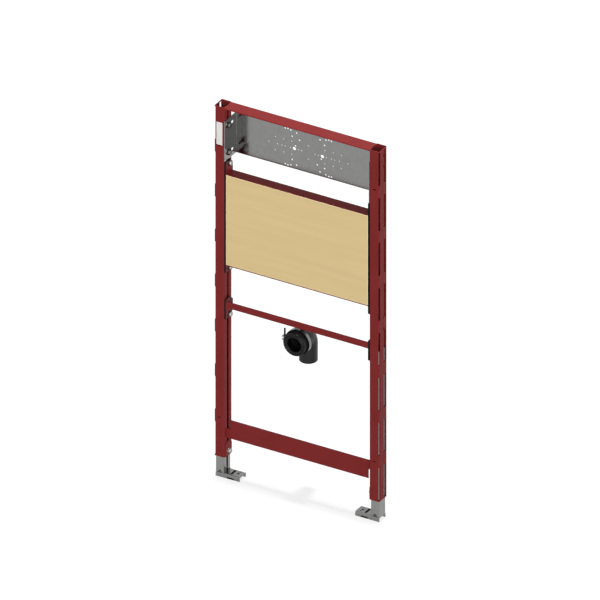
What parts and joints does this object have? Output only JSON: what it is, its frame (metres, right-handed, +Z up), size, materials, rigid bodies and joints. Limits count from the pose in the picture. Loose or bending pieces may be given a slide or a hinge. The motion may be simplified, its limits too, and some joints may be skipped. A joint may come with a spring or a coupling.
{
  "type": "utility sink installation frame",
  "caption": "Upright steel pre-wall frame on telescopic feet, with a tap plate, a wooden board for a utility sink and a clamped drain elbow.",
  "frame": {"origin": "on the floor under the middle of the whole box", "axes": "+Z up, the front of the frame faces -Y, X runs across the frame"},
  "size_m": [0.5, 0.101, 1.12],
  "materials": {
    "red_coat": "satin powder coat",
    "galvanised": "zinc coated",
    "board_wood": "plain sanded",
    "pad_plastic": "matte",
    "drain_plastic": "satin",
    "soft_rubber": "matte",
    "clamp_steel": "bright zinc",
    "black_steel": "black oxide"
  },
  "bodies": {
    "frame": {"left_post": "red_coat", "right_post": "red_coat", "top_rail": "red_coat", "low_rail": "red_coat", "drain_rail": "red_coat", "board_top_angle": "red_coat", "board_bottom_angle": "red_coat", "left_board_bracket": "red_coat", "right_board_bracket": "red_coat", "left_drain_bracket": "red_coat", "right_drain_bracket": "red_coat", "left_foot_brake": "red_coat", "right_foot_brake": "red_coat", "tap_plate": "galvanised", "board": "board_wood", "left_board_pad": "pad_plastic", "right_board_pad": "pad_plastic", "left_drain_pad": "pad_plastic", "right_drain_pad": "pad_plastic", "drain_elbow": "drain_plastic", "drain_seal": "soft_rubber", "clamp_lining": "soft_rubber", "clamp_band": "clamp_steel", "clamp_stud": "clamp_steel", "clamp_screw": "black_steel"},
    "left_foot": {"left_foot_tube": "galvanised", "left_foot_base": "galvanised", "left_foot_sole": "soft_rubber"},
    "right_foot": {"right_foot_tube": "galvanised", "right_foot_base": "galvanised", "right_foot_sole": "soft_rubber"}
  },
  "joints": [
    {"name": "left_foot_slide", "type": "slide", "parent": "frame", "child": "left_foot", "axis": [0, 0, -1], "range_m": [-0.04, 0.15]},
    {"name": "right_foot_slide", "type": "slide", "parent": "frame", "child": "right_foot", "axis": [0, 0, -1], "range_m": [-0.04, 0.15]}
  ]
}
